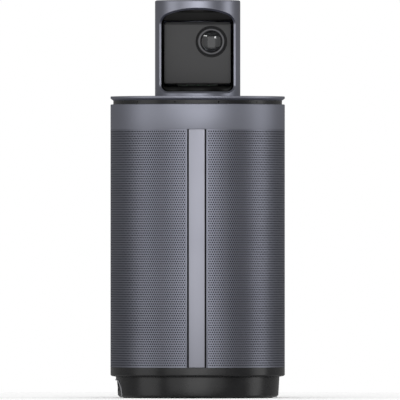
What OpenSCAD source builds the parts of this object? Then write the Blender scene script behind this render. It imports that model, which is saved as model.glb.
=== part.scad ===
// Tabletop conference camera: a panning and tilting head on a round speaker body.
// Origin at the centre of the underside, +Z up, the front of the unit faces -Y.

/* [Body] */
// Outside diameter of the speaker body
body_d = 112; // [94:1:134]
// Height of the black base
base_h = 19.4; // [16:0.2:24]
// Height of the lower, tapered part of the base
cup_h = 13.3; // [11:0.1:15]
// Height of the perforated sleeve
sleeve_h = 152.6; // [128:1:183]
// Wall of the perforated sleeve
sleeve_t = 1.2; // [0.8:0.1:2]
// Height of the plain band above the sleeve
band_h = 16.2; // [15:0.1:19]
// Height of the shadow gap under the deck
gap_h = 2.4; // [2:0.1:4]
// Thickness of the deck plate
deck_t = 2.7; // [2.4:0.1:4]
// Width of the plain strip down the front
strip_w = 10.3; // [8:0.1:13]
// Dark groove on each side of the strip
groove_w = 1.0; // [0.5:0.1:2]

/* [Head] */
// Outside diameter of the head
head_d = 54.8; // [50:0.2:66]
// Height of the head above the deck
head_h = 61.7; // [60:0.1:74]
// Wall of the head shell
shell_t = 2.0; // [1.2:0.1:2.4]
// Height of the tilt axis above the deck
axis_h = 27.8; // [27:0.1:30]
// Slope of the window's upper edge in degrees
window_slope = 22.8; // [10:0.1:30]

/* [Camera block] */
// Height of the camera block
block_h = 40; // [36:0.5:40]
// Distance from the tilt axis to the face of the block
face_y = 8; // [7:0.1:9]
// Diameter of the front lens
lens_d = 13.8; // [11:0.1:14]
// Sideways offset of the lens from the centre
lens_x = 8.9; // [7:0.1:9.5]
// Height of the lens above the tilt axis
lens_z = 7.4; // [5:0.1:8]

/* [Drives] */
// Teeth on the pan gear
pan_teeth = 60; // [48:4:72]
// Teeth on the pan pinion
pan_pinion_teeth = 15; // [13:1:18]
// Module of the pan gears
pan_module = 0.8; // [0.7:0.05:0.9]
// Teeth on the tilt gear
tilt_teeth = 36; // [30:2:36]
// Teeth on the tilt pinion
tilt_pinion_teeth = 12; // [12:1:14]
// Module of the tilt gears
tilt_module = 0.5; // [0.45:0.05:0.5]
// Play between meshing teeth
backlash = 0.12; // [0.08:0.01:0.2]

/* [Fits] */
// Radial clearance of a shaft in its bearing
run_fit = 0.05; // [0.02:0.01:0.1]
// Gap between faces that pass each other
face_gap = 0.4; // [0.3:0.05:0.6]
// Travel of a deck button
button_travel = 0.4; // [0.3:0.05:0.5]

/* [Hidden] */
$fn = 96;
arc_steps = 10;
body_r = body_d / 2;
sleeve_in = body_r - sleeve_t;
cloth_t = 0.6;
cloth_out = sleeve_in - 0.2;
core_r = cloth_out - cloth_t - 0.2;
base_r = body_r - 3.45;
cup_wall = 2.6;
floor_z = 0.3;
floor_t = 2.6;
foot_z = 1.4;
foot_in = body_r - 16;
foot_out = body_r - 8;
plate_r = foot_in - 2;
plate_t = 1.8;
boss_r = plate_r - 5;
screw_r = 1.5;
screw_head_r = 2.8;
screw_head_t = 1.1;

sleeve_z = base_h;
band_z = sleeve_z + sleeve_h;
gap_z = band_z + band_h;
deck_z = gap_z + gap_h;
deck_top = deck_z + deck_t;
neck_r = body_r - 1.8;
neck_in = body_r - 6;
deck_rim = 1.3;
snug = 0.03;
band_in = core_r + snug;

port_w = 34;
port_h = 10.8;
port_depth = 0.6;
jack_z = 6.6;

post_ring = core_r - 6.5;
post_r = 2.5;
chassis_t = 2.5;
chassis_z = sleeve_z;
baffle_z = chassis_z + 38.6;
baffle_t = 3;
driver_r = post_ring - post_r - 0.4;
cone_r = driver_r - 14;
enclosure_z = baffle_z + baffle_t;
enclosure_top = band_z - 24;
enclosure_wall = 2.5;
board_z = enclosure_top + 4;
board_t = 1.6;
board_r = core_r - 12;

spindle_r = 8;
spindle_in = 5.5;
bush_wall = 2;
hub_r = spindle_r + run_fit + bush_wall + 3;
gear_plate_z = band_z + 2;
gear_plate_t = 3;
gear_gap = 0.5;
clip_t = 1;
pan_gear_z = gear_plate_z + gear_plate_t + 1.5;
pan_gear_t = 4;
frame_t = 3;
frame_z = gap_z - frame_t;
pan_r = pan_teeth * pan_module / 2;
pan_pinion_r = pan_pinion_teeth * pan_module / 2;
pan_centre = pan_r + pan_pinion_r;
pan_shaft_r = 1.5;
pan_motor_r = 9;
pan_motor_h = gear_plate_z - board_z - board_t - 2;

head_r = head_d / 2;
shell_in = head_r - shell_t;
recess_t = 0.8;
recess_floor = deck_top - recess_t;
head_z = recess_floor + face_gap;
head_top = deck_top + head_h;
washer_t = 0.2;
table_z = recess_floor + washer_t + 0.3;
table_top = deck_top + 2.7;
axis_z = deck_top + axis_h;
window_half = head_r - 4.1;
window_top = head_top - 6.2;
window_low = deck_top + 3;
liner_half = head_r - 5.1;
liner_out = head_r - 2.9;
liner_top = head_top - 7.5;
liner_low = deck_top + 4.9;
liner_back = 5.3;
liner_wall = 1.5;
liner_fit = 0.05;

block_half = liner_half - 0.9;
block_r = block_h / 2;
plate_deep = 3;
edge_cut = 1.6;
block_back = face_y - plate_deep;
swing_r = sqrt(block_r * block_r + block_back * block_back) + 0.1;
cheek_t = 2.7;
cheek_r = 7;
pin_r = 2;
pin_end = liner_out - 0.5;
housing_r = 16.5;
housing_wall = 1.4;
housing_x0 = -2;
housing_x1 = block_half - cheek_t;
lens_r = lens_d / 2;
ring_r = lens_r + 1.75;
groove_r = lens_r + 3.35;
glass_r = lens_r - 0.2;
glass_sag = 1.2;
glass_curve = (glass_r * glass_r + glass_sag * glass_sag) / (2 * glass_sag);
lens_front = face_y + 0.4;

tilt_r = tilt_teeth * tilt_module / 2;
tilt_pinion_r = tilt_pinion_teeth * tilt_module / 2;
tilt_centre = tilt_r + tilt_pinion_r;
tilt_gear_t = 2;
tilt_gear_x = -housing_x1;
tilt_shaft_r = 1;
tilt_motor_r = 5;
tilt_motor_x0 = -14;
tilt_motor_x1 = -4;
bracket_t = 1.2;

button_r = 3.6;
button_ring = body_r * 0.75;
button_step = 22;

metal = [0.45, 0.47, 0.52];
dark = [0.12, 0.12, 0.13];
black = [0.05, 0.05, 0.06];
steel = [0.7, 0.7, 0.72];
gold = [0.8, 0.62, 0.3];
green = [0.1, 0.35, 0.2];

function arc(cx, cy, r, a0, a1, n = arc_steps) =
    [for (i = [0:n]) let (a = a0 + (a1 - a0) * i / n) [cx + r * cos(a), cy + r * sin(a)]];

function rounded(half, z0, z1, top_r, low_r) = concat(
    arc(-half + low_r, z0 + low_r, low_r, 180, 270),
    arc(half - low_r, z0 + low_r, low_r, 270, 360),
    arc(half - top_r, z1 - top_r, top_r, 0, 90),
    arc(-half + top_r, z1 - top_r, top_r, 90, 180));

pressure = 25;
addendum = 0.8;
dedendum = 1.1;
flank_steps = 4;

function inv(r, base) = let (t = sqrt(max(0, (r / base) * (r / base) - 1))) t * 180 / PI - atan(t);

function tooth(n, m, centre) = let (
    pitch = n * m / 2,
    base = pitch * cos(pressure),
    tip = pitch + addendum * m,
    root = pitch - dedendum * m,
    start = max(base, root),
    half = 90 / n - backlash / 4 / pitch * 180 / PI + inv(pitch, base)
    ) concat(
    root < base ? [[root, centre - half]] : [],
    [for (i = [0:flank_steps])
        let (r = start + (tip - start) * i / flank_steps) [r, centre - half + inv(r, base)]],
    [for (i = [flank_steps:-1:0])
        let (r = start + (tip - start) * i / flank_steps) [r, centre + half - inv(r, base)]],
    root < base ? [[root, centre + half]] : []);

function gear_points(n, m, first) =
    [for (i = [0:n - 1]) for (p = tooth(n, m, first + i * 360 / n)) [p[0] * cos(p[1]), p[0] * sin(p[1])]];

module box(x0, x1, y0, y1, z0, z1) {
    translate([x0, y0, z0])
        cube([x1 - x0, y1 - y0, z1 - z0]);
}

module disc(r, z0, z1) {
    translate([0, 0, z0])
        cylinder(r = r, h = z1 - z0);
}

module tube(r_out, r_in, z0, z1) {
    difference() {
        disc(r_out, z0, z1);
        disc(r_in, z0 - 1, z1 + 1);
    }
}

module around(count, radius, first = 0) {
    for (i = [0:count - 1])
        rotate([0, 0, first + i * 360 / count])
            translate([radius, 0, 0])
                children();
}

module rod_x(r, x0, x1) {
    translate([x0, 0, axis_z])
        rotate([0, 90, 0])
            cylinder(r = r, h = x1 - x0);
}

module rod_y(r, y0, y1) {
    translate([lens_x, y0, axis_z + lens_z])
        rotate([-90, 0, 0])
            cylinder(r = r, h = y1 - y0);
}

module slab_y(y0, y1) {
    translate([0, y1, 0])
        rotate([90, 0, 0])
            linear_extrude(height = y1 - y0)
                children();
}

module rubber_foot() {
    color(black)
        tube(foot_out, foot_in, 0, foot_z);
}

module bottom_plate() {
    color(dark)
        difference() {
            disc(plate_r, floor_z + 0.3, floor_z + 0.3 + plate_t);
            around(4, boss_r, 45)
                disc(screw_r + 0.1, 0, 4);
            around(4, boss_r, 45)
                disc(screw_head_r + 0.1, 0, floor_z + 0.3 + screw_head_t);
        }
}

module bottom_screws() {
    color(steel)
        around(4, boss_r, 45) {
            difference() {
                disc(screw_head_r, floor_z + 0.3, floor_z + 0.3 + screw_head_t);
                translate([0, 0, floor_z - 1])
                    cylinder(r = 1.3, h = 2, $fn = 6);
            }
            disc(screw_r, floor_z + 0.3 + screw_head_t, floor_z + 8);
        }
}

module cup_solid(inset) {
    rotate_extrude()
        polygon([[0, floor_z], [base_r - 2.35 - inset, floor_z], [base_r - 0.75 - inset, floor_z + 1.5],
            [base_r - inset, cup_h], [0, cup_h]]);
}

module port_arch(x0, x1, grow) {
    half = port_w / 2 + grow;
    round_r = port_h - 2;
    translate([x0, 0, 0])
        rotate([90, 0, 90])
            linear_extrude(height = x1 - x0)
                polygon(concat([[-half, -1], [half, -1]],
                    arc(half - round_r, port_h + grow - round_r, round_r, 0, 90),
                    arc(-half + round_r, port_h + grow - round_r, round_r, 90, 180)));
}

module base_cup() {
    color(dark)
        difference() {
            cup_solid(0);
            disc(base_r - cup_wall, floor_z + floor_t, cup_h + 1);
            disc(plate_r + 0.1, floor_z - 1, floor_z + floor_t + 1);
            tube(foot_out + snug, foot_in - snug, -1, foot_z);
            intersection() {
                port_arch(-body_r, -base_r + cup_wall + 6, 0);
                difference() {
                    disc(body_r, -1, cup_h);
                    disc(base_r - 3.4, -2, cup_h + 1);
                }
            }
        }
}

module port_panel() {
    color(black)
        difference() {
            intersection() {
                cup_solid(port_depth);
                port_arch(-body_r, -base_r + cup_wall + 6, 0);
            }
            disc(base_r - 3.4, -1, cup_h + 1);
            port_holes(0);
        }
}

module on_port(y, z) {
    translate([-base_r + port_depth + 5, y, z])
        rotate([0, -90, 0])
            children();
}

module usb_shape(grow) {
    translate([0, -2.9, 0])
        cylinder(r = 1.6 + grow, h = 8);
    translate([0, 2.9, 0])
        cylinder(r = 1.6 + grow, h = 8);
    translate([-1.6 - grow, -2.9, 0])
        cube([3.2 + grow * 2, 5.8, 8]);
}

module port_holes(grow) {
    on_port(-10, jack_z)
        cylinder(r = 3.4 + grow, h = 9);
    on_port(0, jack_z)
        usb_shape(grow);
    on_port(9.5, jack_z)
        cylinder(r = 2.6 + grow, h = 9);
}

module trim_port() {
    intersection() {
        children();
        disc(base_r - port_depth - 1.1, 0, cup_h);
    }
}

module power_jack() {
    color(dark)
        trim_port()
            on_port(-10, jack_z)
                difference() {
                    translate([0, 0, -6])
                        cylinder(r = 3.4, h = 15);
                    cylinder(r = 2.75, h = 10);
                }
    color(steel)
        trim_port()
            on_port(-10, jack_z)
                translate([0, 0, -2])
                    cylinder(r = 1, h = 6);
}

module usb_port() {
    color(steel)
        trim_port()
            on_port(0, jack_z)
                difference() {
                    union() {
                        usb_shape(0);
                        translate([-1.6, -4.4, -5])
                            cube([3.2, 8.8, 6]);
                    }
                    translate([-1.3, -2.9, 0])
                        cube([2.6, 5.8, 9]);
                    translate([0, -2.9, 0])
                        cylinder(r = 1.3, h = 9);
                    translate([0, 2.9, 0])
                        cylinder(r = 1.3, h = 9);
                }
    color(dark)
        trim_port()
            on_port(0, jack_z)
                translate([-0.35, -3.2, -1])
                    cube([0.7, 6.4, 4.6]);
}

module audio_jack() {
    color(dark)
        trim_port()
            on_port(9.5, jack_z)
                difference() {
                    translate([0, 0, -7])
                        cylinder(r = 2.6, h = 15);
                    translate([0, 0, -6])
                        cylinder(r = 1.8, h = 16);
                }
}

module port_board() {
    color(green)
        intersection() {
            box(-base_r, -base_r + 34, -15, 15, jack_z + 3.8, jack_z + 5);
            disc(base_r - cup_wall - 2, 0, cup_h);
        }
}

module base_ring() {
    color(dark)
        rotate_extrude()
            polygon([[body_r - 6, cup_h], [base_r, cup_h], [body_r - 0.7, cup_h + 1.2],
                [body_r, cup_h + 1.8], [body_r, base_h], [body_r - 6, base_h]]);
}

module chassis() {
    color(dark)
        difference() {
            union() {
                disc(core_r, chassis_z, chassis_z + chassis_t);
                tube(core_r, cone_r + 5.5, baffle_z, baffle_z + baffle_t);
                around(4, post_ring, 45)
                    disc(post_r, chassis_z, baffle_z + 1);
                around(4, boss_r, 45)
                    disc(post_r + 0.6, floor_z + 0.3 + plate_t, chassis_z + 1);
            }
            around(4, boss_r, 45)
                disc(screw_r, 0, floor_z + 9);
        }
}

module diffuser_cone() {
    color(dark)
        rotate_extrude()
            polygon([[0, chassis_z + chassis_t], [cone_r + 6, chassis_z + chassis_t],
                [cone_r + 6, chassis_z + chassis_t + 1], [cone_r * 0.72, chassis_z + 7],
                [cone_r * 0.4, chassis_z + 14], [cone_r * 0.18, chassis_z + 22], [2, chassis_z + 29],
                [0, chassis_z + 30]]);
}

module driver_basket() {
    z = baffle_z;
    color(dark)
        difference() {
            rotate_extrude()
                polygon([[cone_r + 3.6, z - 1.6], [driver_r, z - 1.6], [driver_r, z], [cone_r + 5.2, z],
                    [cone_r - 4, z + 20], [cone_r - 4, z + 22], [12, z + 22], [12, z + 20.5],
                    [cone_r - 5.6, z + 20.5], [cone_r + 3.6, z]]);
            for (a = [0:60:300])
                rotate([0, 0, a])
                    box(-4.5, 4.5, 0, cone_r + 3, z + 6, z + 18);
        }
}

module driver_surround() {
    z = baffle_z - 1.6;
    color(black)
        rotate_extrude()
            polygon(concat(
                arc(cone_r + 1.6, z + 0.6, 2, 180, 360, 8),
                arc(cone_r + 1.6, z + 0.6, 1.4, 360, 180, 8)));
}

module driver_cone() {
    z = baffle_z - 1;
    color([0.25, 0.25, 0.26])
        rotate_extrude()
            polygon(concat([[cone_r - 0.4, z], [cone_r - 0.4, z + 0.7], [10, z + 14.6], [9, z + 14.6]],
                [[9, z + 11], [4.6, z + 9.4], [0, z + 9], [0, z + 8.4], [5, z + 8.8], [9.6, z + 10.4]],
                [[9.8, z + 13.6]]));
}

module voice_coil() {
    color([0.7, 0.4, 0.2])
        tube(10, 9.2, baffle_z + 13.6, baffle_z + 25);
}

module driver_magnet() {
    z = baffle_z + 22;
    color(steel)
        difference() {
            disc(24, z, z + 14);
            tube(10.6, 8.6, z - 1, z + 8);
        }
}

module speaker_enclosure() {
    color(dark)
        difference() {
            union() {
                disc(core_r - 1, enclosure_z, enclosure_top);
                around(4, board_r - 4, 45)
                    disc(3, enclosure_top - 1, board_z);
            }
            disc(core_r - 1 - enclosure_wall, enclosure_z - 1, enclosure_top - enclosure_wall);
        }
}

module cloth_liner() {
    color(black)
        tube(cloth_out, cloth_out - cloth_t, sleeve_z, band_z - 0.2);
}

module grille_sleeve() {
    half = strip_w / 2 + groove_w;
    color(metal)
        difference() {
            tube(body_r, sleeve_in, sleeve_z, band_z);
            box(-half, half, -body_r - 1, 0, sleeve_z - 1, band_z + 1);
        }
}

module front_strip() {
    half = strip_w / 2;
    color([0.65, 0.66, 0.7])
        intersection() {
            tube(body_r, cloth_out, sleeve_z, band_z);
            box(-half, half, -body_r - 1, 0, sleeve_z, band_z);
        }
}

module upper_band() {
    color(metal)
        rotate_extrude()
            polygon([[band_in, band_z], [body_r, band_z], [body_r, gap_z - 0.4], [body_r - 0.4, gap_z],
                [band_in, gap_z]]);
}

module main_board() {
    color(green)
        difference() {
            disc(board_r, board_z, board_z + board_t);
            disc(10, board_z - 1, board_z + board_t + 1);
        }
    color(black)
        box(-30, -14, -16, 0, board_z + board_t, board_z + board_t + 1.2);
    color(black)
        box(14, 26, -24, -12, board_z + board_t, board_z + board_t + 1.4);
    color(steel)
        box(16, 30, 6, 20, board_z + board_t, board_z + board_t + 2);
}

module heat_sink() {
    z = board_z + board_t + 1.2;
    color(steel) {
        box(-32, -12, -18, 2, z, z + 1.5);
        for (i = [0:6])
            box(-32 + i * 3.1, -32 + i * 3.1 + 1, -18, 2, z + 1, z + 9);
    }
}

module gear_plate() {
    color(dark)
        difference() {
            union() {
                disc(core_r - 0.4, gear_plate_z, gear_plate_z + gear_plate_t);
                around(4, core_r - 7, 45)
                    disc(post_r, enclosure_top, gear_plate_z + 1);
            }
            disc(spindle_in, gear_plate_z - 1, gear_plate_z + gear_plate_t + 1);
            translate([0, pan_centre, 0])
                disc(pan_shaft_r + 1.5, gear_plate_z - 1, gear_plate_z + gear_plate_t + 1);
        }
}

module pan_motor() {
    color(steel)
        translate([0, pan_centre, 0])
            difference() {
                disc(pan_motor_r, gear_plate_z - pan_motor_h, gear_plate_z);
                disc(pan_shaft_r + run_fit, gear_plate_z - pan_motor_h + 4, gear_plate_z + 1);
            }
}

module pan_pinion() {
    z1 = pan_gear_z + pan_gear_t;
    color(gold)
        translate([0, pan_centre, 0])
            union() {
                translate([0, 0, pan_gear_z])
                    linear_extrude(height = pan_gear_t)
                        polygon(gear_points(pan_pinion_teeth, pan_module, -90 + 180 / pan_pinion_teeth));
                disc(pan_shaft_r, gear_plate_z - pan_motor_h + 5, z1);
            }
}

module pan_gear() {
    color([0.85, 0.85, 0.8])
        difference() {
            translate([0, 0, pan_gear_z])
                linear_extrude(height = pan_gear_t)
                    polygon(gear_points(pan_teeth, pan_module, 90));
            disc(spindle_r + snug, pan_gear_z - 1, pan_gear_z + pan_gear_t + 1);
            around(6, pan_r * 0.68)
                disc(4, pan_gear_z - 1, pan_gear_z + pan_gear_t + 1);
        }
}

module spindle_clip() {
    color(steel)
        tube(spindle_r + 2.5, spindle_r + snug, pan_gear_z - clip_t, pan_gear_z);
}

module top_frame() {
    hub_z = pan_gear_z + pan_gear_t + gear_gap;
    color(dark)
        difference() {
            union() {
                disc(core_r, frame_z, gap_z);
                disc(hub_r, hub_z, deck_z);
                around(4, core_r - 7, 45)
                    disc(post_r, gear_plate_z + gear_plate_t, frame_z + 1);
            }
            disc(hub_r - 3, hub_z - 1, deck_z + 1);
        }
}

module pan_bushing() {
    color(gold)
        tube(hub_r - 3, spindle_r + run_fit, pan_gear_z + pan_gear_t + gear_gap, deck_z);
}

module mic_board() {
    color(green)
        tube(core_r - 11, core_r - 22, frame_z - 2.6, frame_z - 1.4);
    color(black)
        around(6, core_r - 13.5, 30)
            disc(1.2, frame_z - 1.6, frame_z);
}

module microphones() {
    color(gold)
        around(6, core_r - 16.5)
            box(-1.5, 1.5, -2, 2, frame_z - 1.4, frame_z - 0.4);
}

module neck_ring() {
    color(black)
        difference() {
            tube(neck_r, neck_in, gap_z, deck_z);
            around(12, neck_r, 15)
                translate([0, 0, gap_z + gap_h / 2])
                    rotate([0, 90, 0])
                        cylinder(r = 0.5, h = 20, center = true);
        }
}

module deck_plate() {
    color(metal)
        difference() {
            rotate_extrude()
                polygon([[spindle_r + 0.6, deck_z], [neck_r, deck_z], [body_r, deck_top - deck_rim],
                    [body_r, deck_top - 0.2], [body_r - 0.2, deck_top], [head_r + 0.5, deck_top],
                    [head_r + 0.5, recess_floor], [spindle_r + 0.6, recess_floor]]);
            for (i = [0:3])
                button_at(i)
                    disc(button_r + 0.3, deck_z - 1, deck_top + 1);
        }
}

module thrust_washer() {
    color([0.9, 0.9, 0.85])
        tube(shell_in - 2, shell_in - 8, recess_floor, recess_floor + washer_t);
}

module button_at(i) {
    rotate([0, 0, -90 + (i - 1.5) * button_step])
        translate([button_ring, 0, 0])
            children();
}

module deck_button(i) {
    color(black)
        button_at(i)
            union() {
                disc(button_r, deck_z - 0.7, deck_top);
                disc(button_r + 1, deck_z - 0.7, deck_z - 0.35);
            }
}

module button_switches() {
    color(steel)
        for (i = [0:3])
            button_at(i)
                translate([-2.2, -2.2, gap_z])
                    cube([4.4, 4.4, gap_h - 0.7 - button_travel - 0.3]);
}

module head_turntable() {
    color(dark)
        difference() {
            union() {
                disc(shell_in - snug, table_z, table_top);
                disc(spindle_r, pan_gear_z - clip_t - 0.1, table_top);
            }
            disc(spindle_in, pan_gear_z - clip_t - 1, table_top + 1);
        }
}

function edge_drop(x) = tan(window_slope) * (head_r - sqrt(head_r * head_r - x * x));

function edge_angle(x) = atan(tan(window_slope) * x / sqrt(head_r * head_r - x * x));

module window_cut() {
    corner = 7;
    guess = window_half - corner / 2;
    tilt = edge_angle(guess - corner / 2 + corner * sin(edge_angle(guess)));
    meet = window_half - corner + corner * sin(tilt);
    centre_x = window_half - corner;
    centre_z = window_top - edge_drop(meet) - corner * cos(tilt);
    slab_y(-head_r - 3, -sqrt(shell_in * shell_in - window_half * window_half) + 0.6)
        polygon(concat(
            arc(-window_half + 4.6, window_low + 4.6, 4.6, 180, 270),
            arc(window_half - 4.6, window_low + 4.6, 4.6, 270, 360),
            arc(centre_x, centre_z, corner, 0, 90 - tilt),
            [for (i = [1:11]) let (x = meet * (1 - i / 6)) [x, window_top - edge_drop(x)]],
            arc(-centre_x, centre_z, corner, 90 + tilt, 180)));
}

module head_shell() {
    color(metal)
        difference() {
            rotate_extrude()
                polygon([[shell_in, head_z], [head_r, head_z], [head_r, head_top - 0.6],
                    [head_r - 0.6, head_top], [0, head_top], [0, head_top - shell_t],
                    [shell_in, head_top - shell_t]]);
            window_cut();
        }
}

module window_liner() {
    opening = swing_r + 0.4;
    color(black)
        difference() {
            intersection() {
                slab_y(-head_r, liner_back)
                    polygon(rounded(liner_out, table_top, head_top - 3, 9, 4));
                disc(shell_in - liner_fit, table_top, head_top);
            }
            slab_y(-head_r - 1, liner_back - liner_wall)
                polygon(rounded(liner_half, liner_low, liner_top, 7.5, 3.5));
            box(-liner_half + 0.2, liner_half - 0.2, 0, head_r, axis_z - opening, axis_z + opening);
            rod_x(pin_r + run_fit, -head_r, head_r);
        }
}

module tilt_bracket() {
    y0 = tilt_centre - tilt_motor_r;
    y1 = tilt_centre + tilt_motor_r;
    color(steel)
        difference() {
            union() {
                box(tilt_motor_x0 - bracket_t, tilt_motor_x0, y0, y1, table_top, axis_z + 5.5);
                box(tilt_motor_x0 - bracket_t, tilt_motor_x1, y0, y1, table_top, table_top + 1.5);
            }
            translate([0, tilt_centre, 0])
                rod_x(tilt_shaft_r + 1, tilt_motor_x0 - 3, tilt_motor_x0 + 1);
        }
}

module tilt_motor() {
    color(steel)
        translate([0, tilt_centre, 0])
            difference() {
                rod_x(tilt_motor_r, tilt_motor_x0, tilt_motor_x1);
                rod_x(tilt_shaft_r + run_fit, tilt_motor_x0 - 1, tilt_motor_x1 - 2);
            }
}

module tilt_pinion() {
    color(gold)
        translate([0, tilt_centre, 0])
            union() {
                translate([tilt_gear_x, 0, axis_z])
                    rotate([0, 90, 0])
                        linear_extrude(height = tilt_gear_t)
                            polygon(gear_points(tilt_pinion_teeth, tilt_module,
                                -90 + 180 / tilt_pinion_teeth));
                rod_x(tilt_shaft_r, tilt_gear_x, tilt_motor_x1 - 3);
            }
}

module tilt_gear() {
    reach = tilt_r + 3;
    color([0.85, 0.85, 0.8])
        translate([tilt_gear_x, 0, axis_z])
            rotate([0, 90, 0])
                difference() {
                    union() {
                        intersection() {
                            linear_extrude(height = tilt_gear_t)
                                polygon(gear_points(tilt_teeth, tilt_module, 90));
                            linear_extrude(height = tilt_gear_t)
                                polygon([[0, 0], [reach * cos(38), reach * sin(38)],
                                    [reach * cos(60), reach * 1.4], [-reach * cos(60), reach * 1.4],
                                    [-reach * cos(38), reach * sin(38)]]);
                        }
                        cylinder(r = 4.4, h = tilt_gear_t);
                    }
                    translate([0, 0, -1])
                        cylinder(r = pin_r + snug, h = tilt_gear_t + 2);
                }
}

module head_board() {
    color(green)
        box(-13, 13, shell_in - 6.2, shell_in - 5, table_top + 4, axis_z + 14);
    color(black)
        box(-6, 6, shell_in - 7.3, shell_in - 6.2, axis_z - 6, axis_z + 6);
}

module block_solid(y0, y1) {
    slab_y(y0, y1)
        polygon(rounded(block_half, axis_z - block_r, axis_z + block_r, 2.5, 2.5));
}

module camera_bezel() {
    color(black)
        difference() {
            union() {
                intersection() {
                    block_solid(-face_y, -block_back);
                    translate([-head_r, 0, axis_z])
                        rotate([90, 0, 90])
                            linear_extrude(height = head_d)
                                polygon([[-block_back + 1, -block_r - 1], [-block_back + 1, block_r + 1],
                                    [-face_y + edge_cut, block_r + 1], [-face_y + edge_cut, block_r],
                                    [-face_y, block_r - edge_cut], [-face_y, -block_r + edge_cut],
                                    [-face_y + edge_cut, -block_r], [-face_y + edge_cut, -block_r - 1]]);
                }
                for (side = [0, 1])
                    mirror([side, 0, 0]) {
                        rod_x(cheek_r, block_half - cheek_t, block_half);
                        box(block_half - cheek_t, block_half, -face_y + 1, 0,
                            axis_z - cheek_r, axis_z + cheek_r);
                    }
            }
            rod_y(groove_r, -face_y - 1, -face_y + 1.5);
            rod_y(ring_r + snug, -face_y - 1, 0);
            rod_x(pin_r + snug, -head_r, head_r);
        }
}

module camera_housing() {
    inner = housing_r - housing_wall;
    color(dark)
        difference() {
            intersection() {
                rod_x(housing_r, housing_x0, housing_x1);
                box(housing_x0, housing_x1, -block_back, housing_r, axis_z - housing_r, axis_z + housing_r);
            }
            intersection() {
                rod_x(inner, housing_x0 + housing_wall, housing_x1 - housing_wall);
                box(housing_x0, housing_x1, -block_back - 1, inner, axis_z - inner, axis_z + inner);
            }
            box(4, 12, 0, housing_r + 1, axis_z - 4, axis_z - 1);
        }
}

module tilt_pins() {
    color(steel)
        for (side = [0, 1])
            mirror([side, 0, 0])
                rod_x(pin_r, block_half - cheek_t - side * tilt_gear_t, pin_end);
}

module lens_ring() {
    color([0.35, 0.35, 0.36])
        difference() {
            rod_y(ring_r, -lens_front, -block_back);
            rod_y(glass_r + snug, -lens_front - 1, 0);
        }
}

module lens_barrel() {
    color(black)
        difference() {
            union() {
                rod_y(7, -block_back, 3.5);
                rod_y(5.2, 3.5, 7.4);
            }
            rod_y(5.9, -block_back - 1, -1.2);
            rod_y(4.6, -2, 3);
            rod_y(3.6, 2, 8);
        }
}

module front_lens() {
    color([0.3, 0.35, 0.5, 0.5])
        intersection() {
            rod_y(glass_r, -lens_front, -block_back);
            translate([lens_x, -lens_front + glass_curve, axis_z + lens_z])
                sphere(r = glass_curve);
        }
}

module middle_lens() {
    color([0.3, 0.35, 0.5, 0.5])
        intersection() {
            rod_y(5.9, -4.4, -1.2);
            translate([lens_x, 7.6, axis_z + lens_z])
                sphere(r = 12);
        }
}

module rear_lens() {
    color([0.3, 0.35, 0.5, 0.5])
        rod_y(3.6, 3.6, 6.8);
}

module iris_plate() {
    color(dark)
        difference() {
            rod_y(4.6, 0.2, 1);
            translate([lens_x, 2, axis_z + lens_z])
                rotate([90, 0, 0])
                    cylinder(r = 2.2, h = 4, $fn = 6);
        }
}

module sensor_board() {
    color(green)
        box(housing_x0 + 2, housing_x1 - 2, 8.4, 9.4, axis_z - 9, axis_z + 11);
}

module image_sensor() {
    color(black)
        box(lens_x - 4, lens_x + 4, 7.5, 8.4, axis_z + lens_z - 3.4, axis_z + lens_z + 3.4);
}

rubber_foot();
bottom_plate();
bottom_screws();
base_cup();
port_panel();
power_jack();
usb_port();
audio_jack();
port_board();
base_ring();
chassis();
diffuser_cone();
driver_basket();
driver_surround();
driver_cone();
voice_coil();
driver_magnet();
speaker_enclosure();
cloth_liner();
grille_sleeve();
front_strip();
upper_band();
main_board();
heat_sink();
gear_plate();
pan_motor();
pan_pinion();
pan_gear();
spindle_clip();
top_frame();
pan_bushing();
mic_board();
microphones();
neck_ring();
deck_plate();
thrust_washer();
deck_button(0);  // call_button
deck_button(1);  // volume_down_button
deck_button(2);  // volume_up_button
deck_button(3);  // mute_button
button_switches();
head_turntable();
head_shell();
window_liner();
tilt_bracket();
tilt_motor();
tilt_pinion();
tilt_gear();
head_board();
camera_bezel();
camera_housing();
tilt_pins();
lens_ring();
lens_barrel();
front_lens();
middle_lens();
rear_lens();
iris_plate();
sensor_board();
image_sensor();
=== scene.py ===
import math
import bpy
import bmesh
from mathutils import Matrix, Vector


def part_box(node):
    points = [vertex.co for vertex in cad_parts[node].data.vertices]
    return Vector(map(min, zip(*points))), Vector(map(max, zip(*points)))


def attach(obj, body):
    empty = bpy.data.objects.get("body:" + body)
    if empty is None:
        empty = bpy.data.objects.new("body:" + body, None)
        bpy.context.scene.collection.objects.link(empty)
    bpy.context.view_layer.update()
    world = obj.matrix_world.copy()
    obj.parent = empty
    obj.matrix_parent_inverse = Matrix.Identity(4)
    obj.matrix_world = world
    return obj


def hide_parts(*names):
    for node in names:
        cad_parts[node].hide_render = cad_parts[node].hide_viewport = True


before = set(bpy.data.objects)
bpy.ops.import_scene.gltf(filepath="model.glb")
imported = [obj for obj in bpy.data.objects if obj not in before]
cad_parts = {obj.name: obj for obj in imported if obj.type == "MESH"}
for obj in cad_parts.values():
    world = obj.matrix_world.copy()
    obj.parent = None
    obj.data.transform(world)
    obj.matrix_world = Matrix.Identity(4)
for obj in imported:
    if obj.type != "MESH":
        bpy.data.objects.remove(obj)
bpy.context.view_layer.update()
mm = 0.001  # every size below is in millimetres until it meets this


def hexColour(code):
    parts = [int(code[i:i + 2], 16) / 255 for i in (1, 3, 5)]
    return [p / 12.92 if p <= 0.04045 else ((p + 0.055) / 1.055) ** 2.4 for p in parts] + [1.0]


def nothingSelected():
    if bpy.context.object and bpy.context.object.mode != "OBJECT":
        bpy.ops.object.mode_set(mode="OBJECT")
    bpy.ops.object.select_all(action="DESELECT")


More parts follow.
